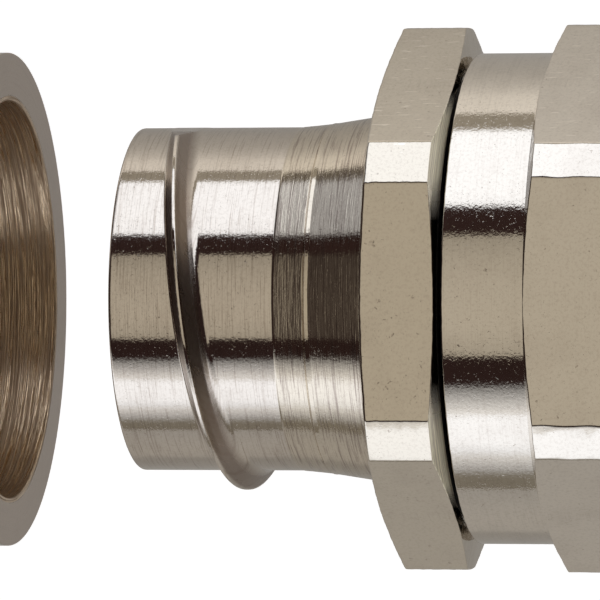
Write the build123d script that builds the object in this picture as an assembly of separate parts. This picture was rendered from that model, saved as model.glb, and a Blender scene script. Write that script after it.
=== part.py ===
"""A metal conduit gland with a cable seal, after M25 nickel-plated brass glands.

It seals a cable where it enters an enclosure and holds the end of a 20 mm flexible metal conduit.
The gland lies on its hexagon flats. Its axis is X: the entry thread points to +X and the conduit comes
from -X. The origin is on the axis, in the plane of the face that seats on the enclosure wall.
Every length is in millimetres.
"""

from build123d import *
import math
import os

# ---- driving dimensions -------------------------------------------------------------------------------
ACROSS_FLATS = 30.0  # hexagon bar that the three hexagon pieces are turned from
THREAD_PITCH = 1.5
ENTRY_THREAD_RADIUS = 12.5  # M25 entry thread
ENTRY_THREAD_LENGTH = 8.0
ENTRY_BORE_RADIUS = 9.5
BODY_HEX_LENGTH = 7.5
BODY_HEX_CORNER_RADIUS = 16.68  # the hexagon's corners are turned down to this radius
COLLAR_LENGTH = 4.78
NECK_GAP = 0.57  # between the collar and the screw's hexagon, as tightened
SCREW_THREAD_RADIUS = 13.42  # M27 pressure thread, with its tolerance
SCREW_THREAD_PITCH = 1.5
SCREW_HEX_LENGTH = 4.5
SCREW_HEX_CORNER_RADIUS = 16.54
SPIGOT_RADIUS = 10.54
SPIGOT_LENGTH = 10.05  # straight part of the ferrule, which goes into the conduit
FERRULE_BORE_RADIUS = 9.4
FLARE_LENGTH = 6.12  # widening part of the ferrule, which wedges in the conduit's end
SHANK_RADIUS = 11.30  # part of the ferrule inside the pressure screw
RIB_RADIUS = 11.74
RIB_PITCH = 7.8
CONDUIT_GRIP_RADIUS = 12.1  # of the untightened rings in the nut, which a 24 mm conduit passes
NUT_BORE_RADIUS = 12.3
NUT_STAND_OFF = 8.50  # from the ferrule's end to the mouth of the pulled-back nut
NUT_COLLAR_RADIUS = 15.27  # a little outside the flats
NUT_COLLAR_LENGTH = 5.5
NUT_HEX_LENGTH = 6.5
NUT_TAIL_LENGTH = 3.0
CABLE_RADIUS_SMALL = 6.0  # with both seal rings in place
CABLE_RADIUS_LARGE = 8.5  # with the inner seal ring taken out

# ---- clearances and small features --------------------------------------------------------------------
STACK_GAP = 0.02  # between pieces that are clamped against each other
TURNING_CLEARANCE = 0.08  # radial, between pieces that turn in each other
EDGE_BREAK = 0.12
HEX_CHAMFER_SLOPE = math.tan(math.radians(10.7))
BODY_CHAMFER_SLOPE = math.tan(math.radians(18.3))
THREAD_DEPTH = 0.92
THREAD_ROOT_FLAT = 0.18
THREAD_HALF_ANGLE = math.radians(30)

# ---- places along the axis, from right to left --------------------------------------------------------
apothem = ACROSS_FLATS / 2
collar_radius = apothem - 0.01
body_hex_left = -BODY_HEX_LENGTH
collar_end = body_hex_left - COLLAR_LENGTH
screw_hex_right = collar_end - NECK_GAP
screw_hex_left = screw_hex_right - SCREW_HEX_LENGTH
flare_start = screw_hex_left - FLARE_LENGTH
ferrule_end = flare_start - SPIGOT_LENGTH
nut_mouth = ferrule_end - NUT_STAND_OFF
nut_hex_right = nut_mouth - NUT_COLLAR_LENGTH
nut_hex_left = nut_hex_right - NUT_HEX_LENGTH
nut_tail_end = nut_hex_left - NUT_TAIL_LENGTH

# The stack that is clamped in the seal chamber, from its seat to the screw's end.
chamber_radius = 12.6
seat = -1.9
stack_radius = 12.48  # passes the collar's thread
seat_washer_right = seat - STACK_GAP
seat_washer_left = seat_washer_right - 0.6
seal_right = seat_washer_left - STACK_GAP
seal_left = seal_right - 3.4
thrust_washer_right = seal_left - STACK_GAP
thrust_washer_left = thrust_washer_right - 0.6
flange_right = thrust_washer_left - STACK_GAP
flange_left = flange_right - 0.9
slip_ring_right = flange_left - STACK_GAP
slip_ring_left = slip_ring_right - 0.4
screw_end = slip_ring_left - STACK_GAP


# ---- shapes that repeat -------------------------------------------------------------------------------
def turned(outline):
    """A solid of revolution about X. The outline is a closed list of (place along X, radius)."""
    return revolve(make_face(Polyline(*outline, close=True)), Axis.X)


def ring(left, right, inner, outer, edge=0.0):
    """A plain ring about X, with its outer edges broken where an edge break is given."""
    if edge == 0:
        return turned([(left, inner), (left, outer), (right, outer), (right, inner)])
    return turned(
        [
            (left, inner),
            (left, outer - edge),
            (left + edge, outer),
            (right - edge, outer),
            (right, outer - edge),
            (right, inner),
        ]
    )


def o_ring(middle, inner, cord):
    """A rubber ring of round section about X."""
    section = Pos(middle, inner + cord / 2) * Circle(cord / 2)
    return revolve(section, Axis.X)


def hexagon(left, right, corner_radius, slope_left, slope_right):
    """Hexagon bar with turned corners, chamfered at both ends, with two flats facing up and down."""
    outline = RegularPolygon(apothem, 6, major_radius=False)
    bar = extrude(Plane.YZ.offset(left) * outline, right - left)
    corner_rise = corner_radius - apothem
    envelope = turned(
        [
            (left, 0),
            (left, apothem),
            (left + slope_left * corner_rise, corner_radius),
            (right - slope_right * corner_rise, corner_radius),
            (right, apothem),
            (right, 0),
        ]
    )
    return bar & envelope


def thread_groove(radius, start, end):
    """A helical V groove about X, to cut from a shaft of the given radius."""
    overrun = 0.25  # reaches past the shaft's surface, so that the cut is clean
    half_root = THREAD_ROOT_FLAT / 2
    half_mouth = half_root + (THREAD_DEPTH + overrun) * math.tan(THREAD_HALF_ANGLE)
    mouth = radius + overrun
    root = radius - THREAD_DEPTH
    corners = [(mouth, -half_mouth), (root, -half_root), (root, half_root), (mouth, half_mouth)]
    section = make_face(Plane.XZ * Polyline(*corners, close=True))
    groove = sweep(section, path=Helix(THREAD_PITCH, end - start, radius), is_frenet=True)
    return Plane(origin=(start, 0, 0), x_dir=(0, 1, 0), z_dir=(1, 0, 0)) * groove


def thread_rings(radius, start, end, pitch):
    """The outline, along X, of a shaft whose thread is drawn as separate rings."""
    half_root = THREAD_ROOT_FLAT / 2
    half_mouth = half_root + THREAD_DEPTH * math.tan(THREAD_HALF_ANGLE)
    points = []
    for number in range(int((end - start) / pitch)):
        middle = start + pitch * (number + 0.5)
        points += [
            (middle - half_mouth, radius),
            (middle - half_root, radius - THREAD_DEPTH),
            (middle + half_root, radius - THREAD_DEPTH),
            (middle + half_mouth, radius),
        ]
    return points


# ---- pieces that are fixed to the enclosure -----------------------------------------------------------
O_RING_RECESS_RADIUS = 14.3
O_RING_RECESS_DEPTH = 0.9
UNDERCUT_WIDTH = 1.6
entry_undercut = ENTRY_THREAD_RADIUS - THREAD_DEPTH - 0.1
COLLAR_BORE_RADIUS = 13.5  # root of the pressure thread, whose turns are left out here


def gland_body():
    """Entry thread, hexagon and collar in one piece, bored through, with a seal chamber."""
    end = ENTRY_THREAD_LENGTH
    shaft = turned(
        [
            (body_hex_left, 0),
            (body_hex_left, entry_undercut),
            (UNDERCUT_WIDTH - 0.3, entry_undercut),
            (UNDERCUT_WIDTH + 0.5, ENTRY_THREAD_RADIUS),
            (end - 1.0, ENTRY_THREAD_RADIUS),
            (end, ENTRY_THREAD_RADIUS - 1.0),
            (end, 0),
        ]
    )
    shaft -= thread_groove(ENTRY_THREAD_RADIUS, UNDERCUT_WIDTH - 0.9, end + THREAD_PITCH)
    collar = ring(collar_end, -1.0, 5.0, collar_radius, EDGE_BREAK)
    body = shaft + collar + hexagon(body_hex_left, 0, BODY_HEX_CORNER_RADIUS, BODY_CHAMFER_SLOPE, 0.2)
    relief_right = screw_end + 0.6
    bore = turned(
        [
            (collar_end - 1, 0),
            (collar_end - 1, COLLAR_BORE_RADIUS + 0.4),
            (collar_end, COLLAR_BORE_RADIUS + 0.4),
            (collar_end + 0.4, COLLAR_BORE_RADIUS),
            (relief_right - 0.3, COLLAR_BORE_RADIUS),
            (relief_right, chamber_radius),
            (seat, chamber_radius),
            (seat, ENTRY_BORE_RADIUS),
            (end - 0.5, ENTRY_BORE_RADIUS),
            (end, ENTRY_BORE_RADIUS + 0.5),
            (end + 1, ENTRY_BORE_RADIUS + 0.5),
            (end + 1, 0),
        ]
    )
    recess = ring(-O_RING_RECESS_DEPTH, 1.0, entry_undercut, O_RING_RECESS_RADIUS)
    return body - bore - recess


def entry_o_ring():
    """Rubber ring in the seating face's recess, flush with it as it is when screwed home."""
    return ring(
        -O_RING_RECESS_DEPTH + 0.05, -0.02, entry_undercut + 0.5, O_RING_RECESS_RADIUS - 0.06, 0.3
    )


def seat_washer():
    return ring(seat_washer_left, seat_washer_right, ENTRY_BORE_RADIUS + 0.3, stack_radius, EDGE_BREAK)


def cable_seal_outer():
    """Outer ring of the cable seal: rubber, crowned inside the chamber, for cables up to 17 mm."""
    return ring(seal_left, seal_right, CABLE_RADIUS_LARGE, stack_radius, 0.6)


def cable_seal_inner():
    """Inner ring of the cable seal, which is pulled out for a thicker cable."""
    return ring(
        seal_left + 0.1, seal_right - 0.1, CABLE_RADIUS_SMALL, CABLE_RADIUS_LARGE - 0.03, 0.2
    )


# ---- pieces that move along with the pressure screw ---------------------------------------------------
def thrust_washer():
    return ring(
        thrust_washer_left, thrust_washer_right, FERRULE_BORE_RADIUS + 0.2, stack_radius, EDGE_BREAK
    )


def slip_ring():
    """Nylon ring that lets the screw turn on the ferrule's flange without dragging it round."""
    return ring(slip_ring_left, slip_ring_right, SHANK_RADIUS + TURNING_CLEARANCE, stack_radius)


SCREW_BORE_RADIUS = SHANK_RADIUS + TURNING_CLEARANCE
SCREW_UNDERCUT_RADIUS = 12.35
SCREW_UNDERCUT_WIDTH = 1.2
SHANK_SEAL_GROOVE = (screw_hex_left + 1.5, screw_hex_left + 3.1, 12.56)  # left, right and floor radius


def pressure_screw():
    """Hexagon head and hollow threaded shank, which presses the stack into the seal chamber."""
    thread_left = screw_hex_right + SCREW_UNDERCUT_WIDTH + 0.3
    shank = turned(
        [
            (screw_hex_right - 1, 0),
            (screw_hex_right - 1, SCREW_UNDERCUT_RADIUS),
            (thread_left - 0.7, SCREW_UNDERCUT_RADIUS),
            (thread_left, SCREW_THREAD_RADIUS),
            *thread_rings(SCREW_THREAD_RADIUS, thread_left, screw_end - 0.5, SCREW_THREAD_PITCH),
            (screw_end - 0.4, SCREW_THREAD_RADIUS),
            (screw_end, SCREW_THREAD_RADIUS - 0.5),
            (screw_end, 0),
        ]
    )
    head = hexagon(
        screw_hex_left, screw_hex_right, SCREW_HEX_CORNER_RADIUS, HEX_CHAMFER_SLOPE, HEX_CHAMFER_SLOPE
    )
    groove_left, groove_right, groove_floor = SHANK_SEAL_GROOVE
    bore = turned(
        [
            (screw_hex_left - 1, 0),
            (screw_hex_left - 1, SCREW_BORE_RADIUS),
            (groove_left, SCREW_BORE_RADIUS),
            (groove_left, groove_floor),
            (groove_right, groove_floor),
            (groove_right, SCREW_BORE_RADIUS),
            (screw_end + 1, SCREW_BORE_RADIUS),
            (screw_end + 1, 0),
        ]
    )
    return shank + head - bore


def neck_o_ring():
    """Dust seal in the screw's undercut, behind its hexagon."""
    cord = 0.9
    return o_ring(screw_hex_right + cord / 2 + STACK_GAP, SCREW_UNDERCUT_RADIUS + STACK_GAP, cord)


def shank_o_ring():
    """Seal between the turning ferrule and the pressure screw."""
    groove_left, groove_right, groove_floor = SHANK_SEAL_GROOVE
    cord = groove_floor - SHANK_RADIUS - 0.08
    return o_ring((groove_left + groove_right) / 2, SHANK_RADIUS + 0.03, cord)


# ---- the ferrule --------------------------------------------------------------------------------------
RIB_CREST = 0.10
RIB_STEEP_SIDE = 0.68  # axial width of the side towards the conduit
RIB_HOLLOW_SIDE = 1.60
RIB_SUNK = 0.35  # how far its section reaches into the tube
RIB_TOP_X = flare_start - 5.47  # place of the crest where it passes over the top of the spigot
RIB_FIRST_ANGLE = -85.0  # angle about X from the top, positive towards -Y
RIB_LAST_ANGLE = 205.0


def conduit_rib():
    """The helical rib that screws into the conduit: 0.8 of a turn, filed flush at both ends."""
    turn = (RIB_LAST_ANGLE - RIB_FIRST_ANGLE) / 360
    base = SPIGOT_RADIUS - RIB_SUNK
    steep_side = [(base, -RIB_STEEP_SIDE), (RIB_RADIUS, -RIB_CREST / 2)]
    hollow_side = [
        (RIB_RADIUS, RIB_CREST / 2),
        (RIB_RADIUS - 0.42, 0.30),
        (RIB_RADIUS - 0.84, 0.62),
        (RIB_RADIUS - 1.18, 1.05),
        (base, RIB_HOLLOW_SIDE),
    ]
    section = make_face(Plane.XZ * Polyline(*steep_side, *hollow_side, close=True))
    rib = sweep(section, path=Helix(RIB_PITCH, RIB_PITCH * turn, RIB_RADIUS), is_frenet=True)
    start = RIB_TOP_X + RIB_PITCH * RIB_FIRST_ANGLE / 360
    rib = Rot(X=90 + RIB_FIRST_ANGLE) * (Plane(origin=(start, 0, 0), x_dir=(0, 1, 0), z_dir=(1, 0, 0)) * rib)
    file_size = 2 * RIB_RADIUS
    flush = Pos(RIB_TOP_X, 0, SPIGOT_RADIUS - 0.02 + file_size / 2) * Box(file_size, file_size, file_size)
    for angle in (RIB_FIRST_ANGLE, RIB_LAST_ANGLE):
        rib -= Rot(X=angle) * flush
    return rib


def ferrule():
    """Tube that the conduit is screwed onto. Its flange is trapped behind the pressure screw's end."""
    flare_bead = flare_start + 2.0
    tube = turned(
        [
            (ferrule_end, 0),
            (ferrule_end, SPIGOT_RADIUS - EDGE_BREAK),
            (ferrule_end + EDGE_BREAK, SPIGOT_RADIUS),
            (flare_start, SPIGOT_RADIUS - 0.06),
            (flare_bead - 0.06, SPIGOT_RADIUS + 0.20),
            (flare_bead, SPIGOT_RADIUS + 0.26),
            (flare_start + 4.05, SPIGOT_RADIUS + 0.52),
            (screw_hex_left - 0.05, SHANK_RADIUS - 0.05),
            (screw_hex_left + 0.2, SHANK_RADIUS),
            (flange_left, SHANK_RADIUS),
            (flange_left, stack_radius),
            (flange_right, stack_radius),
            (flange_right, 0),
        ]
    )
    bore = turned(
        [
            (ferrule_end - 1, 0),
            (ferrule_end - 1, FERRULE_BORE_RADIUS + 0.2),
            (ferrule_end, FERRULE_BORE_RADIUS + 0.2),
            (ferrule_end + 0.2, FERRULE_BORE_RADIUS),
            (flange_right - 0.4, FERRULE_BORE_RADIUS),
            (flange_right, FERRULE_BORE_RADIUS + 0.4),
            (flange_right + 1, FERRULE_BORE_RADIUS + 0.4),
            (flange_right + 1, 0),
        ]
    )
    return tube + conduit_rib() - bore


# ---- the nut that clamps the conduit's end ------------------------------------------------------------
CLAMP_RING_LEFT = nut_tail_end + 2.9
CLAMP_RING_WIDTH = 2.8
CLAMP_RING_OUTER = 13.2
CLAMP_RING_SLOTS = 12
CONDUIT_SEAL_CORD = 1.15
CONDUIT_SEAL_MIDDLE = nut_tail_end + 1.25


def conduit_nut():
    """Hexagon nut with a round collar, which is pushed along the conduit up to the pressure screw."""
    shell = turned(
        [
            (nut_tail_end, 11.0),
            (nut_tail_end, 13.3),
            (nut_tail_end + 0.5, 13.9),
            (nut_hex_left - 0.4, 14.5),
            (nut_hex_left + 1.0, 14.5),
            (nut_hex_right - 1.0, NUT_COLLAR_RADIUS),
            (nut_mouth - EDGE_BREAK, NUT_COLLAR_RADIUS),
            (nut_mouth, NUT_COLLAR_RADIUS - EDGE_BREAK),
            (nut_mouth, 11.0),
        ]
    )
    shell += hexagon(nut_hex_left, nut_hex_right, BODY_HEX_CORNER_RADIUS, 0.5, BODY_CHAMFER_SLOPE)
    seal_groove_floor = CONDUIT_GRIP_RADIUS + CONDUIT_SEAL_CORD + 0.03
    groove_right = CLAMP_RING_LEFT + CLAMP_RING_WIDTH + 0.05
    bore = turned(
        [
            (nut_tail_end - 1, 0),
            (nut_tail_end - 1, NUT_BORE_RADIUS + 0.4),
            (nut_tail_end, NUT_BORE_RADIUS + 0.4),
            (nut_tail_end + 0.4, NUT_BORE_RADIUS),
            (CONDUIT_SEAL_MIDDLE - 0.75, NUT_BORE_RADIUS),
            (CONDUIT_SEAL_MIDDLE - 0.75, seal_groove_floor),
            (CONDUIT_SEAL_MIDDLE + 0.75, seal_groove_floor),
            (CONDUIT_SEAL_MIDDLE + 0.75, NUT_BORE_RADIUS),
            (CLAMP_RING_LEFT - 0.05, NUT_BORE_RADIUS),
            (CLAMP_RING_LEFT - 0.05, CLAMP_RING_OUTER + TURNING_CLEARANCE),
            (groove_right, CLAMP_RING_OUTER + TURNING_CLEARANCE),
            (groove_right, NUT_BORE_RADIUS),
            (nut_mouth - 0.1, NUT_BORE_RADIUS),
            (nut_mouth, NUT_BORE_RADIUS + 0.1),
            (nut_mouth + 1, NUT_BORE_RADIUS + 0.1),
            (nut_mouth + 1, 0),
        ]
    )
    return shell - bore


def conduit_seal():
    """Rubber ring in the nut's tail, which seals on the conduit's outside."""
    return o_ring(CONDUIT_SEAL_MIDDLE, CONDUIT_GRIP_RADIUS, CONDUIT_SEAL_CORD)


def conduit_clamp_ring():
    """Slotted nylon ring inside the nut, which grips the conduit's outside."""
    right = CLAMP_RING_LEFT + CLAMP_RING_WIDTH
    body = ring(CLAMP_RING_LEFT, right, CONDUIT_GRIP_RADIUS, CLAMP_RING_OUTER, 0.2)
    slot = Pos(right - 0.7, 0, CONDUIT_GRIP_RADIUS + 0.5) * Box(2.4, 0.5, 4)
    for number in range(CLAMP_RING_SLOTS):
        body -= Rot(X=360 * (number + 0.5) / CLAMP_RING_SLOTS) * slot
    return body


PIECES = {
    "gland_body": gland_body,
    "entry_o_ring": entry_o_ring,
    "seat_washer": seat_washer,
    "cable_seal_outer": cable_seal_outer,
    "cable_seal_inner": cable_seal_inner,
    "thrust_washer": thrust_washer,
    "slip_ring": slip_ring,
    "pressure_screw": pressure_screw,
    "neck_o_ring": neck_o_ring,
    "shank_o_ring": shank_o_ring,
    "ferrule": ferrule,
    "conduit_nut": conduit_nut,
    "conduit_clamp_ring": conduit_clamp_ring,
    "conduit_seal": conduit_seal,
}

os.makedirs("parts", exist_ok=True)
for name, make in PIECES.items():
    export_step(make(), f"parts/{name}.step")
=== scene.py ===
import math

import bpy
import numpy as np
from mathutils import Matrix, Vector


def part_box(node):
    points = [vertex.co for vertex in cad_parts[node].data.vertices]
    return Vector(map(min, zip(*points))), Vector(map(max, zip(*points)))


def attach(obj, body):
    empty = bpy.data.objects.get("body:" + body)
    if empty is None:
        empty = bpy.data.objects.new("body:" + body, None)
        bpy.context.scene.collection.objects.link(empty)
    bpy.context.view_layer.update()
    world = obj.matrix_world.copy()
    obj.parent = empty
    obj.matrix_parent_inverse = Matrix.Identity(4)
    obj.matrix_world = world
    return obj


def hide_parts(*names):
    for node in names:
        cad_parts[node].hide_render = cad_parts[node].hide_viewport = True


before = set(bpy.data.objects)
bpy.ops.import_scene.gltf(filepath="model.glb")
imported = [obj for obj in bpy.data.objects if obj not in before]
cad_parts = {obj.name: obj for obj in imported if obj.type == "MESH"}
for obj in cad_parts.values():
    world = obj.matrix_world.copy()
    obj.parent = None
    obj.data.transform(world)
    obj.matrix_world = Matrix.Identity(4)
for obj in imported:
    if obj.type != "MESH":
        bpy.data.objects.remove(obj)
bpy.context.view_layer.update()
MM = 0.001

# Places along X in millimetres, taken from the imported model's own boxes.
body_low, body_high = [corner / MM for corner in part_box("gland_body")]
screw_low, screw_high = [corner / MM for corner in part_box("pressure_screw")]
ferrule_low, ferrule_high = [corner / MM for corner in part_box("ferrule")]
nut_low, nut_high = [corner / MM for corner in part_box("conduit_nut")]

APOTHEM = body_high.z
BODY_HEX_LEFT = -7.5
SCREW_HEX_RIGHT = screw_low.x + 4.5
FLARE_START = ferrule_low.x + 10.05
SPIGOT_RADIUS = 10.54
NUT_COLLAR = nut_high.z
THREAD_PITCH = 1.5
THREAD_DEPTH = 0.92
BODY_CORNER = 16.68
SCREW_CORNER = 16.56
SCREW_CHAMFER_SLOPE = 0.19
BEAD_X = FLARE_START + 2.0
FLATS_FROM = 15.005
BORE_UNDER = 12.6


# ---------------------------------------------------------------------------- round meshes
def angles(corner_half_angle=None):
    """Angles about X from +Y towards +Z, closer together where a flat turns into a corner."""
    if corner_half_angle is None:
        return np.radians(np.arange(0, 360, 0.75))
    found = []
    for corner in range(0, 360, 60):
        edge = corner_half_angle
        found += list(corner + np.linspace(-edge + 0.6, edge - 0.6, 7))
        for side in (-1, 1):
            found += list(corner + side * (edge + np.linspace(-0.5, 0.7, 13)))
            found += list(corner + side * np.linspace(edge + 1.1, 29.6, 30))
    return np.radians(np.array(sorted(set(round(a % 360, 4) for a in found))))


def hexagon_radius(a, corner_radius, soft=0.06):
    """Distance from the axis to a hexagon bar whose corners are turned down to corner_radius."""
    from_flat = (np.degrees(a) % 60) - 30
    flat = APOTHEM / np.cos(np.radians(from_flat))
    near = np.maximum(soft - np.abs(flat - corner_radius), 0) / soft
    return np.minimum(flat, corner_radius) - near * near * soft / 4


def rounded(outline, a):
    """The closed outline, a list of (x, radius, rounding), with every corner rounded: two arrays."""
    ones = np.ones_like(a)
    xs = [np.asarray(point[0]) * ones for point in outline]
    rs = [np.asarray(point[1]) * ones for point in outline]
    out_x, out_r = [], []
    count = len(outline)
    for k in range(count):
        size = outline[k][2]
        here = np.array([xs[k], rs[k]])
        if not size:
            out_x.append(here[0])
            out_r.append(here[1])
            continue
        before = np.array([xs[k - 1], rs[k - 1]]) - here
        after = np.array([xs[(k + 1) % count], rs[(k + 1) % count]]) - here
        long_before = np.maximum(np.hypot(*before), 1e-9)
        long_after = np.maximum(np.hypot(*after), 1e-9)
        cut_before = np.minimum(size, 0.4 * long_before)
        cut_after = np.minimum(size, 0.4 * long_after)
        first = here + before / long_before * cut_before
        last = here + after / long_after * cut_after
        outer_first = here + before / long_before * cut_before * 1.2
        outer_last = here + after / long_after * cut_after * 1.2
        out_x.append(outer_first[0])
        out_r.append(outer_first[1])
        for t in (0.0, 0.25, 0.5, 0.75, 1.0):
            p = (1 - t) ** 2 * first + 2 * t * (1 - t) * here + t * t * last
            out_x.append(p[0])
            out_r.append(p[1])
        out_x.append(outer_last[0])
        out_r.append(outer_last[1])
    return np.array(out_x), np.array(out_r)


def round_mesh(name, x, r, a):
    """A closed ring of quads about X from its outline's x and radius at each angle, in millimetres."""
    rows, columns = x.shape
    points = np.stack([x, r * np.cos(a), r * np.sin(a)], axis=-1).reshape(-1, 3) * MM
    k, j = np.meshgrid(np.arange(rows), np.arange(columns), indexing="ij")
    k2, j2 = (k + 1) % rows, (j + 1) % columns
    quads = np.stack([k * columns + j, k * columns + j2, k2 * columns + j2, k2 * columns + j], -1)
    mesh = bpy.data.meshes.new(name)
    mesh.from_pydata(points.tolist(), [], quads.reshape(-1, 4).tolist())
    mesh.update()
    mesh.polygons.foreach_set("use_smooth", [True] * len(mesh.polygons))
    piece = bpy.data.objects.new(name, mesh)
    bpy.context.scene.collection.objects.link(piece)
    return piece


def thread_stations(left, right, radius, depth, a, pitch=THREAD_PITCH, fade=0.5):
    """Outline points of a right-hand thread between two places, as (x, radius, rounding)."""
    found = []
    for x in np.arange(left, right, 0.055):
        turn = (x / pitch - a / (2 * np.pi)) % 1
        wave = np.clip(1.25 * (2 * np.abs(turn - 0.5)) - 0.125, 0.0, 1.0)
        grown = np.clip((x - left) / fade, 0, 1) * np.clip((right - x) / fade + 0.3, 0, 1)
        found.append((x, radius - depth * (1 - wave) * grown, 0))
    return found


def uneven(a, x, size, seed):
    """Small seeded irregularities over angle and X, as turning and plating leave on an edge."""
    chance = np.random.default_rng(seed)
    total = np.zeros_like(a)
    for waves in (17, 31, 53, 83, 131):
        phase = chance.uniform(0, 2 * np.pi)
        drift = chance.uniform(-1, 1) * waves / 9
        total = total + np.sin(waves * a + phase + drift * x) / 5 ** 0.5
    return size * total


def corner_strip(a, left, right, corner_radius, seed):
    """Stations along a hexagon's bar, whose turned corners waver a little: a list of (x, radius, 0)."""
    found = []
    for share in np.linspace(0.08, 0.92, 15):
        x = left + (right - left) * share
        middle = float(np.mean(x))
        corner = corner_radius + uneven(a, middle * 6, 0.013, seed)
        found.append((x, hexagon_radius(a, corner), 0))
    return found


def make(name, outline, a):
    x, r = rounded(outline, a)
    return round_mesh(name, x, r, a)


# ---------------------------------------------------------------------------- the gland body
def gland_body():
    half = 4.0
    a = angles(half)
    bar = hexagon_radius(a, BODY_CORNER)
    left, right = body_low.x, body_high.x
    collar = APOTHEM - 0.02
    hex_left = BODY_HEX_LEFT + 0.31 * (bar - APOTHEM) + uneven(a, 0, 0.012, 11)
    hex_right = -0.2 * (bar - APOTHEM) - 0.05
    outline = [
        (left - 0.08, 13.9, 0.06),
        (left - 0.10 + uneven(a, 0, 0.008, 12), collar, 0.06),
        (BODY_HEX_LEFT, collar, 0.03),
        (BODY_HEX_LEFT, APOTHEM - 0.005, 0.02),
        (hex_left, bar, 0.06),
        *corner_strip(a, hex_left, hex_right, BODY_CORNER, 21),
        (hex_right, bar, 0.10),
        (0, APOTHEM - 0.1, 0.08),
        (0, 14.3, 0.06),
        (-0.9, 14.3, 0.1),
        (-0.9, 11.5, 0.1),
        (1.3, 11.5, 0.2),
        (2.1, 12.5, 0.08),
        *thread_stations(2.2, right - 1.0, 12.5, THREAD_DEPTH, a),
        (right - 0.95, 12.45, 0.1),
        (right, 11.5, 0.12),
        (right, 10.0, 0.08),
        (right - 0.5, 9.5, 0.1),
        (-1.9, 9.5, 0.06),
        (-1.9, 12.6, 0.1),
        (-7.32, 12.6, 0.1),
        (-7.62, 13.5, 0.1),
        (left + 0.4, 13.5, 0.1),
    ]
    return make("gland_body_turned", outline, a)


# ---------------------------------------------------------------------------- the pressure screw
def pressure_screw():
    a = angles(5.1)
    bar = hexagon_radius(a, SCREW_CORNER)
    left, right = screw_low.x, screw_high.x
    slope = SCREW_CHAMFER_SLOPE
    hex_left = left + 0.02 + slope * (bar - APOTHEM + 0.02) + uneven(a, 0, 0.014, 13)
    hex_right = SCREW_HEX_RIGHT - slope * (bar - APOTHEM) + uneven(a, 0, 0.010, 14)
    outline = [
        (left, 11.48, 0.06),
        (left, APOTHEM - 0.12, 0.06),
        (hex_left, bar, 0.13),
        *corner_strip(a, hex_left, hex_right, SCREW_CORNER, 22),
        (hex_right, bar, 0.07),
        (SCREW_HEX_RIGHT + 0.09, APOTHEM - 0.5, 0.05),
        (SCREW_HEX_RIGHT + 0.09, 14.2, 0.05),
        (SCREW_HEX_RIGHT, 14.0, 0.05),
        (SCREW_HEX_RIGHT, 12.35, 0.1),
        (SCREW_HEX_RIGHT + 0.8, 12.35, 0.2),
        (SCREW_HEX_RIGHT + 1.5, 13.42, 0.08),
        *thread_stations(SCREW_HEX_RIGHT + 1.6, right - 0.5, 13.42, THREAD_DEPTH, a),
        (right - 0.45, 13.38, 0.08),
        (right, 12.95, 0.08),
        (right, 11.4, 0.06),
        (left + 3.1, 11.4, 0.05),
        (left + 3.1, 12.5, 0.08),
        (left + 1.5, 12.5, 0.08),
        (left + 1.5, 11.4, 0.05),
    ]
    return make("pressure_screw_turned", outline, a)


# ---------------------------------------------------------------------------- the ferrule
RIB_RADIUS = 11.74
RIB_PITCH = 7.8
RIB_TOP_X = FLARE_START - 5.47
RIB_FIRST, RIB_LAST = 5.0, 295.0


def rib_path(a):
    """Where the rib's crest passes, at each angle in degrees; between its ends the path turns back."""
    first = RIB_TOP_X + RIB_PITCH * (RIB_FIRST - 90) / 360
    last = RIB_TOP_X + RIB_PITCH * (RIB_LAST - 90) / 360
    back = np.where(a < RIB_FIRST, a + 360, a)
    t = np.clip((back - RIB_LAST) / (360 + RIB_FIRST - RIB_LAST), 0, 1)
    t = t * t * (3 - 2 * t)
    on_rib = (a >= RIB_FIRST) & (a <= RIB_LAST)
    return np.where(on_rib, RIB_TOP_X + RIB_PITCH * (a - 90) / 360, last + (first - last) * t)


def rib_height(offset, a):
    """The rib's radius at a distance right of its crest, cut off flush at both ends."""
    left = RIB_RADIUS - np.interp(-offset, [0, 0.07, 0.62, 0.75, 2], [0, 0.005, 1.05, 1.5, 4])
    right = RIB_RADIUS - np.interp(
        offset, [0, 0.11, 0.36, 0.70, 1.00, 1.25, 2.0], [0, 0.01, 0.38, 0.80, 1.06, 1.22, 3]
    )
    top = np.where(offset < 0, left, right)
    cut = np.full_like(a, 99.0)
    starting = (a >= RIB_FIRST) & (a < RIB_FIRST + 60)
    ending = (a <= RIB_LAST) & (a > RIB_LAST - 60)
    flush = SPIGOT_RADIUS - 0.02
    cut = np.where(starting, flush / np.cos(np.radians(np.clip(a - RIB_FIRST, 0, 60))), cut)
    cut = np.where(ending, flush / np.cos(np.radians(np.clip(RIB_LAST - a, 0, 60))), cut)
    cut = np.where((a < RIB_FIRST) | (a > RIB_LAST), flush, cut)
    return np.minimum(top, cut)


def soft_max(p, q, soft):
    near = np.maximum(soft - np.abs(p - q), 0) / soft
    return np.maximum(p, q) + near * near * soft / 4


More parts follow.
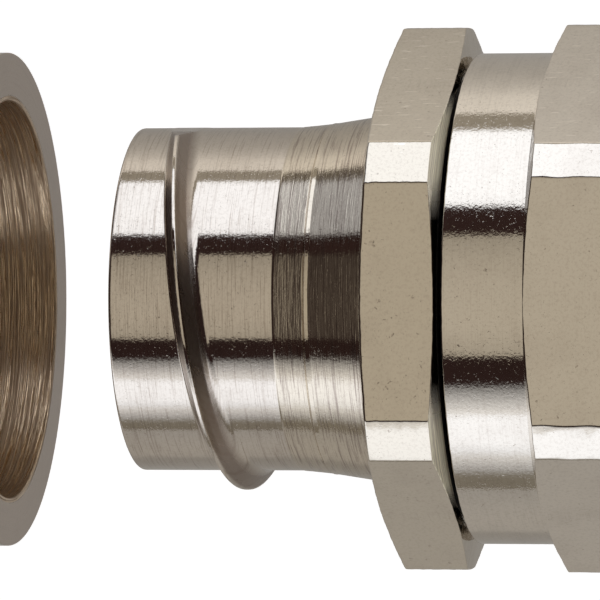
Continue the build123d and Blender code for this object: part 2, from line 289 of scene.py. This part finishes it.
def ferrule():
    a = angles()
    degrees = np.degrees(a)
    left, right = ferrule_low.x, ferrule_high.x
    path = rib_path(degrees)
    offsets = np.concatenate(
        [
            np.linspace(-0.95, -0.12, 15),
            np.linspace(-0.09, 0.10, 8),
            np.linspace(0.14, 1.45, 24),
        ]
    )
    stations = []
    zone_left = left + 0.6
    zone_right = FLARE_START - 0.12
    for share in np.linspace(0, 0.95, 6):
        x = zone_left + (path + offsets[0] - zone_left) * share
        stations.append((x, SPIGOT_RADIUS, 0))
    for offset in offsets:
        x = np.minimum(path + offset, zone_right - 0.002 * (offsets[-1] - offset))
        r = soft_max(np.full_like(a, SPIGOT_RADIUS), rib_height(x - path, degrees), 0.10)
        stations.append((x, r, 0))
    last_x = np.minimum(path + offsets[-1], zone_right)
    for share in np.linspace(0.1, 1.0, 8):
        x = last_x + (zone_right + 0.03 - last_x) * share
        stations.append((x, SPIGOT_RADIUS, 0))
    bead = BEAD_X
    outline = [
        (left, 9.65, 0.05),
        (left, SPIGOT_RADIUS, 0.16),
        (left + 0.4, SPIGOT_RADIUS, 0),
        *stations,
        (FLARE_START, SPIGOT_RADIUS - 0.01, 0.05),
        (FLARE_START + 0.10, SPIGOT_RADIUS + 0.02, 0.05),
        (FLARE_START + 1.0, SPIGOT_RADIUS + 0.10, 0.2),
        (bead - 0.12, SPIGOT_RADIUS + 0.19, 0.03),
        (bead - 0.06, SPIGOT_RADIUS + 0.14, 0.02),
        (bead + 0.00, SPIGOT_RADIUS + 0.24, 0.02),
        (bead + 0.25, SPIGOT_RADIUS + 0.243, 0.03),
        (bead + 1.0, SPIGOT_RADIUS + 0.36, 0.3),
        (FLARE_START + 4.05, SPIGOT_RADIUS + 0.52, 0.3),
        (FLARE_START + 5.45, SPIGOT_RADIUS + 0.735, 0.12),
        (screw_low.x + 0.1, 11.30, 0.1),
        (right - 0.9, 11.30, 0.03),
        (right - 0.9, 12.48, 0.05),
        (right, 12.48, 0.1),
        (right, 9.8, 0.08),
        (right - 0.4, 9.4, 0.1),
        (left + 0.25, 9.4, 0.1),
    ]
    return make("ferrule_turned", outline, a)


# ---------------------------------------------------------------------------- the clamp nut
def conduit_nut():
    a = angles(4.0)
    bar = hexagon_radius(a, BODY_CORNER)
    left, right = nut_low.x, nut_high.x - 0.02
    hex_left, hex_right = left + 3.0, right - 5.5
    grip_left = left + 2.85
    seal = left + 1.25
    outline = [
        (left, 12.75, 0.06),
        (left, 13.3, 0.3),
        (left + 0.5, 13.95, 0.4),
        (hex_left - 0.1, 14.5, 0.1),
        (hex_left, APOTHEM - 0.3, 0.05),
        (hex_left + 0.5 * (bar - APOTHEM + 0.3), bar, 0.1),
        (hex_right - 0.33 * np.maximum(bar - NUT_COLLAR, 0), np.maximum(bar, NUT_COLLAR + 0.001), 0.07),
        (hex_right + 0.02, NUT_COLLAR, 0.03),
        (right, NUT_COLLAR, 0.10),
        (right, 12.34 + uneven(a, 0, 0.012, 15), 0.03),
        (right - 0.08, 12.3, 0.05),
        (grip_left + 2.9, 12.3, 0.05),
        (grip_left + 2.9, 13.28, 0.1),
        (grip_left, 13.28, 0.1),
        (grip_left, 12.3, 0.05),
        (seal + 0.75, 12.3, 0.05),
        (seal + 0.75, 13.28, 0.1),
        (seal - 0.75, 13.28, 0.1),
        (seal - 0.75, 12.3, 0.05),
        (left + 0.4, 12.3, 0.1),
    ]
    return make("conduit_nut_turned", outline, a)


# ---------------------------------------------------------------------------- materials
class Nodes:
    """Short ways to add nodes to a material or world."""

    def __init__(self, tree):
        self.tree = tree

    def add(self, kind, settings=None, inputs=None):
        node = self.tree.nodes.new(kind)
        for key, value in (settings or {}).items():
            setattr(node, key, value)
        for key, value in (inputs or {}).items():
            self.put(node.inputs[key], value)
        return node

    def put(self, socket, value):
        if isinstance(value, bpy.types.NodeSocket):
            self.tree.links.new(value, socket)
        else:
            socket.default_value = value

    def math(self, operation, *values, clamp=False):
        node = self.add("ShaderNodeMath", {"operation": operation, "use_clamp": clamp})
        for socket, value in zip(node.inputs, values):
            self.put(socket, value)
        return node.outputs[0]

    def noise(self, vector, scale, detail=2.0, rough=0.5):
        node = self.add(
            "ShaderNodeTexNoise",
            {"noise_dimensions": "3D"},
            {"Vector": vector, "Scale": scale, "Detail": detail, "Roughness": rough},
        )
        return node.outputs["Fac"]

    def ramp(self, value, low, high, to_low=0.0, to_high=1.0):
        node = self.add("ShaderNodeMapRange", {"clamp": True})
        for key, number in (("From Min", low), ("From Max", high), ("To Min", to_low), ("To Max", to_high)):
            node.inputs[key].default_value = number
        self.put(node.inputs["Value"], value)
        return node.outputs["Result"]

    def colour(self, factor, first, second):
        node = self.add("ShaderNodeMix", {"data_type": "RGBA"})
        self.put(node.inputs[0], factor)
        for index, value in ((6, first), (7, second)):
            if isinstance(value, bpy.types.NodeSocket):
                self.put(node.inputs[index], value)
            else:
                node.inputs[index].default_value = (*value, 1)
        return node.outputs[2]


def new_material(name):
    material = bpy.data.materials.new(name)
    material.use_nodes = True
    material.node_tree.nodes.clear()
    n = Nodes(material.node_tree)
    shader = n.add("ShaderNodeBsdfPrincipled")
    output = n.add("ShaderNodeOutputMaterial")
    material.node_tree.links.new(shader.outputs[0], output.inputs[0])
    coordinates = n.add("ShaderNodeTexCoord")
    scaled = n.add("ShaderNodeVectorMath", {"operation": "SCALE"})
    n.put(scaled.inputs[0], coordinates.outputs["Object"])
    scaled.inputs["Scale"].default_value = 1000.0
    return material, n, shader, scaled.outputs[0]


def turned_space(n, place, along, around):
    """Coordinates that are long round the axis and short along it, as marks of turning are."""
    apart = n.add("ShaderNodeSeparateXYZ", inputs={0: place})
    x, y, z = apart.outputs
    radius = n.math("SQRT", n.math("ADD", n.math("MULTIPLY", y, y), n.math("MULTIPLY", z, z)))
    lengthwise = n.math("MULTIPLY", n.math("ADD", x, radius), along)
    joined = n.add("ShaderNodeCombineXYZ")
    n.put(joined.inputs[0], lengthwise)
    n.put(joined.inputs[1], n.math("MULTIPLY", n.math("DIVIDE", y, radius), around))
    n.put(joined.inputs[2], n.math("MULTIPLY", n.math("DIVIDE", z, radius), around))
    return joined.outputs[0]


DULL = (0.36, 0.30, 0.25)
BRIGHT = (0.86, 0.80, 0.71)
# The next two colours paint a highlight, with darker turning rings, on the screw's chamfer cone.
CHAMFER_PAINTED_HIGHLIGHT = (1.0, 0.93, 0.70)
CHAMFER_RING_PAINTED_HIGHLIGHT = (0.55, 0.48, 0.36)
FLARE_METAL = (0.62, 0.55, 0.45)
# A painted shade for the rib's flanks.
RIB_PAINTED_SHADE = (0.25, 0.19, 0.155)
# The bore's two colours: painted reflections in pale rings, painted shade in dark brown.
BORE_PAINTED_REFLECTION = (0.74, 0.57, 0.39)
BORE_PAINTED_SHADE = (0.34, 0.24, 0.16)
BUMP_HEIGHT = 0.0000035


def nickel(name, base, streaks, specks, rough, seed, flats=0.0, chamfer=None, bore=0.0, flare=None):
    """Bright nickel on brass: turning marks, cloudy plating, dark pits, bright nicks and worn edges. Some
    colour is painted light: a highlight on the chamfer cone, shade on the rib's flanks, and reflections and
    shade in the bore.

    flats is the radius from which a surface is a hexagon's. chamfer is a coarse cone's X, slope and
    least radius. bore is the radius below which the wall is a bored one. flare is the X from which
    turning is coarser.
    """
    material, n, shader, place = new_material(name)
    shifted = n.add("ShaderNodeVectorMath", {"operation": "ADD"})
    n.put(shifted.inputs[0], place)
    shifted.inputs[1].default_value = (seed * 3.1, seed * 1.7, seed * 2.3)
    shifted = shifted.outputs[0]
    apart = n.add("ShaderNodeSeparateXYZ", inputs={0: place})
    x, y, z = apart.outputs
    radius = n.math("SQRT", n.math("ADD", n.math("MULTIPLY", y, y), n.math("MULTIPLY", z, z)))

    fine = n.noise(turned_space(n, place, 8.5, 1.9), 1.0, 3.0, 0.65)
    medium = n.noise(turned_space(n, place, 4.2, 1.8), 1.0, 2.0)
    hair = n.noise(turned_space(n, place, 15.0, 5.0), 1.0, 1.0)
    cloud = n.noise(shifted, 0.35, 3.0)
    grain = n.noise(shifted, 5.5, 2.0, 0.6)
    strength = streaks
    if flats:
        strength = n.ramp(radius, flats, flats + 0.01, streaks, 0.0)
    if bore:
        strength = n.ramp(radius, bore, bore + 0.05, streaks * 15.0, streaks * 0.5)
    if flare is not None:
        strength = n.ramp(x, flare - 0.05, flare + 0.1, streaks, streaks * 2.2)
        bead = n.math("MULTIPLY", n.math("GREATER_THAN", x, BEAD_X), n.math("LESS_THAN", x, BEAD_X + 0.27))
        strength = n.math("MULTIPLY", strength, n.math("SUBTRACT", 1.0, n.math("MULTIPLY", bead, 0.85)))

    # Pits and nicks have ragged outlines.
    wobble = n.add("ShaderNodeTexNoise", inputs={"Vector": shifted, "Scale": 4.5, "Detail": 2.0})
    ragged = n.add("ShaderNodeVectorMath", {"operation": "MULTIPLY_ADD"})
    n.put(ragged.inputs[0], wobble.outputs["Color"])
    ragged.inputs[1].default_value = (0.55, 0.55, 0.55)
    n.put(ragged.inputs[2], shifted)
    ragged = ragged.outputs[0]

    pits = n.add("ShaderNodeTexVoronoi", inputs={"Vector": ragged, "Scale": 2.1})
    pit_size = n.ramp(n.noise(shifted, 1.1, 2.0), 0.47, 0.68, 0.001, 0.23 * specks)
    pit = n.math("SUBTRACT", 1.0, n.math("DIVIDE", pits.outputs["Distance"], pit_size), clamp=True)
    nicks = n.add("ShaderNodeTexVoronoi", inputs={"Vector": ragged, "Scale": 5.0})
    nick_size = n.ramp(n.noise(shifted, 3.7, 2.0), 0.42, 0.62, 0.001, 0.34)
    nick = n.math("SUBTRACT", 1.0, n.math("DIVIDE", nicks.outputs["Distance"], nick_size), clamp=True)

    dull = n.math("MULTIPLY", n.ramp(fine, 0.54, 0.66), n.math("MULTIPLY", strength, 0.45), clamp=True)
    dashes = n.math("MULTIPLY", n.ramp(hair, 0.58, 0.70), n.math("MULTIPLY", strength, 0.36), clamp=True)
    dull = n.math("ADD", dull, dashes)
    dull = n.math("ADD", dull, n.math("MULTIPLY", n.ramp(cloud, 0.50, 0.75), 0.16))
    dull = n.math("ADD", dull, n.math("MULTIPLY", n.ramp(grain, 0.48, 0.68), 0.20))
    dull = n.math("ADD", dull, n.math("MULTIPLY", n.ramp(pit, 0.0, 0.45), 0.60), clamp=True)
    clean = base
    if flare is not None:
        clean = n.colour(n.math("GREATER_THAN", x, flare), base, FLARE_METAL)
    colour = n.colour(dull, clean, DULL)
    metallic = None
    marks = n.math("MULTIPLY", n.ramp(fine, 0.35, 0.75), n.math("MULTIPLY", strength, 0.05))
    roughness = n.math("ADD", rough, marks)
    if flats:
        # Light scratches along the upper flat, where the gland has lain against others.
        along = n.add("ShaderNodeCombineXYZ")
        n.put(along.inputs[0], n.math("MULTIPLY", x, 0.9))
        n.put(along.inputs[1], n.math("MULTIPLY", y, 7.0))
        n.put(along.inputs[2], n.math("MULTIPLY", z, 7.0))
        scratch = n.ramp(n.noise(along.outputs[0], 1.0, 1.0), 0.68, 0.72)
        worn = n.math("MULTIPLY", n.math("GREATER_THAN", y, 8.7), n.math("GREATER_THAN", radius, flats))
        scratch = n.math("MULTIPLY", scratch, n.math("MULTIPLY", worn, 0.55 * specks))
        colour = n.colour(scratch, colour, BRIGHT)
    if chamfer:
        # The coarse-turned cone at the hexagon's end, where it stands clear of the flats' middles. Its
        # rougher turning is real; its pale gold colour and low metal are a painted highlight, standing in
        # for light that the narrow gap to the collar keeps from it.
        edge, slope, inner = chamfer
        along_cone = n.math("ADD", x, n.math("MULTIPLY", n.math("SUBTRACT", radius, 15.0), slope))
        past_edge = n.math("GREATER_THAN", along_cone, edge - 0.035)
        on_it = n.math("MULTIPLY", past_edge, n.math("LESS_THAN", x, edge + 0.12))
        on_it = n.math("MULTIPLY", on_it, n.math("GREATER_THAN", radius, inner))
        off_middle = n.math("ABSOLUTE", y)
        clear = n.math("MULTIPLY", n.ramp(off_middle, 4.8, 7.6), n.ramp(off_middle, 12.5, 11.0))
        on_it = n.math("MULTIPLY", on_it, clear)
        rings = n.ramp(n.noise(turned_space(n, place, 9.0, 3.0), 1.0, 2.0), 0.38, 0.62)
        colour = n.colour(on_it, colour, n.colour(rings, CHAMFER_RING_PAINTED_HIGHLIGHT, CHAMFER_PAINTED_HIGHLIGHT))
        metallic = n.math("SUBTRACT", 1.0, n.math("MULTIPLY", on_it, 0.8))
        roughness = n.math("ADD", roughness, n.math("MULTIPLY", on_it, 0.35))
    if flare is not None:
        # The rib was cut by a round tool, and is rougher than the spigot it stands on. The dark brown on
        # its flanks is painted shade.
        on_rib = n.math("MULTIPLY", n.ramp(radius, 10.56, 10.95), n.math("LESS_THAN", x, flare))
        on_rib = n.math("MULTIPLY", on_rib, n.ramp(radius, 11.70, 11.58))
        colour = n.colour(n.math("MULTIPLY", on_rib, 0.75), colour, RIB_PAINTED_SHADE)
        roughness = n.math("ADD", roughness, n.math("MULTIPLY", on_rib, 0.22))
    if bore:
        # Inside the bore, pale rings are painted reflections and the dark brown between them is painted
        # shade.
        walled = n.math("LESS_THAN", radius, bore)
        bore_painted_bands = n.colour(n.ramp(fine, 0.4, 0.6), BORE_PAINTED_REFLECTION, BORE_PAINTED_SHADE)
        colour = n.colour(walled, colour, bore_painted_bands)
    n.put(shader.inputs["Base Color"], colour)
    shader.inputs["Metallic"].default_value = 1.0
    if metallic is not None:
        n.put(shader.inputs["Metallic"], metallic)
    roughness = n.math("ADD", roughness, n.math("MULTIPLY", n.ramp(cloud, 0.4, 0.7), 0.02))
    n.put(shader.inputs["Roughness"], roughness)
    height = n.math("ADD", n.math("MULTIPLY", fine, 1.1), n.math("MULTIPLY", medium, 0.5))
    height = n.math("ADD", height, n.math("MULTIPLY", hair, 0.6))
    height = n.math("MULTIPLY", height, strength)
    coarse = n.ramp(radius, flats, flats + 0.01, 1.2, 0.8) if flats else 1.0
    height = n.math("ADD", height, n.math("MULTIPLY", grain, coarse))
    height = n.math("SUBTRACT", height, n.math("MULTIPLY", pit, 1.6))
    height = n.math("SUBTRACT", height, n.math("MULTIPLY", nick, 0.85))
    bump = n.add("ShaderNodeBump", inputs={"Strength": 1.0, "Distance": BUMP_HEIGHT, "Height": height})
    n.put(shader.inputs["Normal"], bump.outputs[0])
    return material


def rubber(name, colour, seed):
    material, n, shader, place = new_material(name)
    cloud = n.noise(place, 0.8 + 0.1 * seed, 4.0)
    grain = n.noise(place, 12.0, 3.0, 0.7)
    mould = n.noise(turned_space(n, place, 2.0, 0.8), 1.0, 2.0)
    dusty = n.math("MULTIPLY", n.ramp(cloud, 0.45, 0.8), 0.6)
    light = tuple(min(1.0, c * 1.8 + 0.02) for c in colour)
    n.put(shader.inputs["Base Color"], n.colour(dusty, colour, light))
    n.put(shader.inputs["Roughness"], n.ramp(mould, 0.3, 0.7, 0.38, 0.62))
    height = n.math("ADD", grain, n.math("MULTIPLY", mould, 0.5))
    bump = n.add("ShaderNodeBump", inputs={"Strength": 0.6, "Distance": 0.00002, "Height": height})
    n.put(shader.inputs["Normal"], bump.outputs[0])
    return material


def nylon(name, colour):
    material, n, shader, place = new_material(name)
    cloud = n.noise(place, 0.5, 4.0)
    grain = n.noise(place, 10.0, 3.0, 0.6)
    yellow = (colour[0] * 0.93, colour[1] * 0.88, colour[2] * 0.76)
    n.put(shader.inputs["Base Color"], n.colour(n.ramp(cloud, 0.4, 0.7), colour, yellow))
    n.put(shader.inputs["Roughness"], n.ramp(grain, 0.3, 0.7, 0.36, 0.55))
    shader.inputs["Subsurface Weight"].default_value = 0.15
    shader.inputs["Subsurface Radius"].default_value = (0.001, 0.0008, 0.0006)
    shader.inputs["Subsurface Scale"].default_value = 1.0
    bump = n.add("ShaderNodeBump", inputs={"Strength": 0.4, "Distance": 0.00002, "Height": grain})
    n.put(shader.inputs["Normal"], bump.outputs[0])
    return material


def zinc(name):
    material, n, shader, place = new_material(name)
    cloud = n.noise(place, 0.7, 4.0, 0.6)
    marks = n.noise(turned_space(n, place, 5.0, 1.5), 1.0, 3.0)
    tone = n.colour(n.ramp(cloud, 0.4, 0.7), (0.62, 0.63, 0.66), (0.50, 0.52, 0.58))
    n.put(shader.inputs["Base Color"], tone)
    shader.inputs["Metallic"].default_value = 1.0
    n.put(shader.inputs["Roughness"], n.ramp(marks, 0.3, 0.7, 0.24, 0.42))
    bump = n.add("ShaderNodeBump", inputs={"Strength": 0.5, "Distance": 0.000006, "Height": marks})
    n.put(shader.inputs["Normal"], bump.outputs[0])
    return material


def dress(piece, material):
    piece.data.materials.clear()
    piece.data.materials.append(material)


# ---------------------------------------------------------------------------- put it together
TURNED = (
    (gland_body, "gland_body", "gland", nickel(
        "nickel_body", (0.66, 0.605, 0.53), 0.30, 0.9, 0.045, 1, flats=FLATS_FROM)),
    (pressure_screw, "pressure_screw", "screw", nickel(
        "nickel_screw", (0.62, 0.56, 0.47), 0.25, 1.2, 0.045, 2, flats=FLATS_FROM,
        chamfer=(SCREW_HEX_RIGHT, SCREW_CHAMFER_SLOPE, 14.35))),
    (ferrule, "ferrule", "conduit_end", nickel(
        "nickel_ferrule", (0.62, 0.56, 0.49), 1.0, 0.6, 0.045, 3, flare=FLARE_START)),
    (conduit_nut, "conduit_nut", "nut", nickel(
        "nickel_nut", (0.54, 0.455, 0.385), 0.8, 0.6, 0.08, 4, bore=BORE_UNDER)),
)
for build, node, body, material in TURNED:
    piece = build()
    dress(piece, material)
    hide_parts(node)
    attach(piece, body)

black = rubber("black_rubber_rings", (0.018, 0.017, 0.018), 0)
grey = rubber("grey_rubber_seals", (0.09, 0.09, 0.095), 2)
white = nylon("white_nylon_rings", (0.78, 0.75, 0.66))
plated = zinc("zinc_washers")
CARRIED = {
    "entry_o_ring": black,
    "neck_o_ring": black,
    "shank_o_ring": black,
    "conduit_seal": black,
    "cable_seal_outer": grey,
    "cable_seal_inner": grey,
    "slip_ring": white,
    "conduit_clamp_ring": white,
    "seat_washer": plated,
    "thrust_washer": plated,
}
for node, material in CARRIED.items():
    dress(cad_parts[node], material)

# ---------------------------------------------------------------------------- floor
floor_mesh = bpy.data.meshes.new("floor")
floor_z = min(body_low.z, nut_low.z) * MM - 0.00001
floor_mesh.from_pydata(
    [(-0.35, -0.165, floor_z), (0.30, -0.165, floor_z), (0.30, 0.215, floor_z), (-0.35, 0.215, floor_z)],
    [],
    [(0, 1, 2, 3)],
)
floor = bpy.data.objects.new("floor", floor_mesh)
bpy.context.scene.collection.objects.link(floor)
material, n, shader, place = new_material("pale_floor")
pale = n.colour(n.noise(place, 0.02, 3.0), (0.53, 0.52, 0.50), (0.57, 0.56, 0.54))
n.put(shader.inputs["Base Color"], pale)
shader.inputs["Roughness"].default_value = 0.9
# The floor glows with a brightness that changes across it, and is dimmest in a band under and beside the
# gland: a painted shadow. A light path switch hides that from the camera.
across = n.add("ShaderNodeSeparateXYZ", inputs={0: place}).outputs[1]
table = n.add("ShaderNodeValToRGB")
table.color_ramp.elements.remove(table.color_ramp.elements[1])
FLOOR_GLOW_AND_SHADOW = (
    (-160, 0.14), (-90, 0.17), (-40, 0.24), (-32, 0.23), (-29, 0.12), (16, 0.11),
    (24, 0.20), (38, 0.30), (58, 0.45), (80, 0.62), (160, 0.70), (200, 0.60),
)
for index, (where, level) in enumerate(FLOOR_GLOW_AND_SHADOW):
    at = (where + 200) / 400
    element = table.color_ramp.elements[0] if index == 0 else table.color_ramp.elements.new(at)
    element.position = at
    element.color = (level, level * 0.95, level * 0.87, 1)
n.put(table.inputs[0], n.ramp(across, -200, 200))
seen = n.add("ShaderNodeLightPath").outputs["Is Camera Ray"]
n.put(shader.inputs["Emission Color"], n.colour(seen, table.outputs[0], (0.85, 0.85, 0.85)))
shader.inputs["Emission Strength"].default_value = 1.0
floor.data.materials.append(material)

# ---------------------------------------------------------------------------- light
world = bpy.data.worlds.new("studio")
bpy.context.scene.world = world
world.use_nodes = True
world.node_tree.nodes.clear()
n = Nodes(world.node_tree)
background = n.add("ShaderNodeBackground")
output = n.add("ShaderNodeOutputWorld")
world.node_tree.links.new(background.outputs[0], output.inputs[0])
direction = n.add("ShaderNodeTexCoord").outputs["Generated"]
apart = n.add("ShaderNodeSeparateXYZ", inputs={0: direction})
tilt = n.math("MULTIPLY", n.math("ARCTAN2", apart.outputs[1], apart.outputs[2]), 180 / math.pi)
along = n.math("MULTIPLY", n.math("ARCSINE", apart.outputs[0]), 180 / math.pi)
# Angle from overhead towards +Y in degrees, and the brightness and tone of the panel there.
# The camera sees plain white instead, by the same kind of switch as the floor's.
COOL = (1.0, 1.06, 1.17)
PALE = (1.0, 1.02, 1.06)
WARM = (1.0, 0.92, 0.78)
BROWN = (1.0, 0.56, 0.52)
UNLIT = (0.0080, 0.0048, 0.0044)
PANELS = (
    (-180, 0.26, WARM), (-90.5, 0.26, WARM), (-86, 0.55, PALE), (-79, 0.95, PALE), (-75, 1.22, COOL),
    (-71, 1.45, COOL), (-58, 1.50, COOL), (-55.4, 1.36, COOL), (-54.6, 1.16, PALE), (-46, 0.60, PALE),
    (-41, 0.28, PALE),
    (-39.6, 0.034, BROWN), (-26.3, 0.030, BROWN), (-25.3, 0.52, WARM), (-20, 0.58, WARM), (-12, 0.63, WARM),
    (8, 0.61, WARM), (18, 0.56, WARM), (29.6, 0.44, WARM), (30.6, 0.036, BROWN), (43.9, 0.04, BROWN),
    (44.7, 1.45, COOL), (50, 1.56, COOL), (85.6, 1.56, COOL), (86.6, 0.42, WARM), (92, 0.40, WARM),
    (180, 0.46, WARM),
)
glow = n.add("ShaderNodeValToRGB")
ramp = glow.color_ramp
ramp.interpolation = "LINEAR"
while len(ramp.elements) > 1:
    ramp.elements.remove(ramp.elements[-1])
for index, (degrees, level, tone) in enumerate(PANELS):
    at = (degrees + 180) / 360
    element = ramp.elements[0] if index == 0 else ramp.elements.new(at)
    element.position = at
    element.color = (*(level * part / 4 for part in tone), 1)
n.put(glow.inputs[0], n.ramp(tilt, -180, 180))
# The panels' ends along X: the overhead card and the +Y box are short on the conduit's side.
overhead = n.math("LESS_THAN", n.math("ABSOLUTE", n.math("SUBTRACT", tilt, 2.0)), 30.0)
far_side = n.math("GREATER_THAN", tilt, 40.0)
short = n.math("MAXIMUM", overhead, far_side)
right_end = n.math("ADD", 34.0, n.math("MULTIPLY", n.math("SUBTRACT", 1.0, overhead), 36.0))
before_end = n.ramp(n.math("SUBTRACT", right_end, along), -3.0, 3.0)
wide_part = n.math("MULTIPLY", n.ramp(along, -54.0, -46.0), before_end)
beyond = n.math("ADD", 0.10, n.math("MULTIPLY", far_side, 0.24))
near_end = n.ramp(along, -20.0, -14.5)
short_part = n.math("ADD", beyond, n.math("MULTIPLY", near_end, n.math("SUBTRACT", 1.0, beyond)))
short_part = n.math("MULTIPLY", n.ramp(along, -36.0, -31.0), short_part)
inside = n.math("SUBTRACT", 1.0, n.math("MULTIPLY", short, n.math("SUBTRACT", 1.0, short_part)))
inside = n.math("MULTIPLY", inside, wide_part)
kept = n.colour(inside, UNLIT, glow.outputs[0])
seen = n.add("ShaderNodeLightPath").outputs["Is Camera Ray"]
n.put(background.inputs["Color"], n.colour(seen, kept, (0.25, 0.25, 0.25)))
background.inputs["Strength"].default_value = 4.0

# ---------------------------------------------------------------------------- camera
camera = bpy.data.cameras.new("camera")
camera.sensor_width = 36.0
camera.lens = 412.9
camera.clip_start = 0.01
camera.clip_end = 20.0
view = bpy.data.objects.new("camera", camera)
bpy.context.scene.collection.objects.link(view)
SIDE, UP, DISTANCE, ROLL = math.radians(11.136), math.radians(0.70), 0.4228, math.radians(-0.198)
target = Vector((-23.79, -0.07, 0.0)) * MM
back = Vector((math.sin(SIDE) * math.cos(UP), math.sin(UP), math.cos(SIDE) * math.cos(UP)))
right = Vector((0, 1, 0)).cross(back).normalized()
above = back.cross(right)
turned_right = right * math.cos(ROLL) + above * math.sin(ROLL)
turned_above = above * math.cos(ROLL) - right * math.sin(ROLL)
place = target + back * DISTANCE
view.matrix_world = Matrix(
    (
        (turned_right.x, turned_above.x, back.x, place.x),
        (turned_right.y, turned_above.y, back.y, place.y),
        (turned_right.z, turned_above.z, back.z, place.z),
        (0, 0, 0, 1),
    )
)
bpy.context.scene.camera = view
bpy.context.scene.view_settings.view_transform = "Standard"
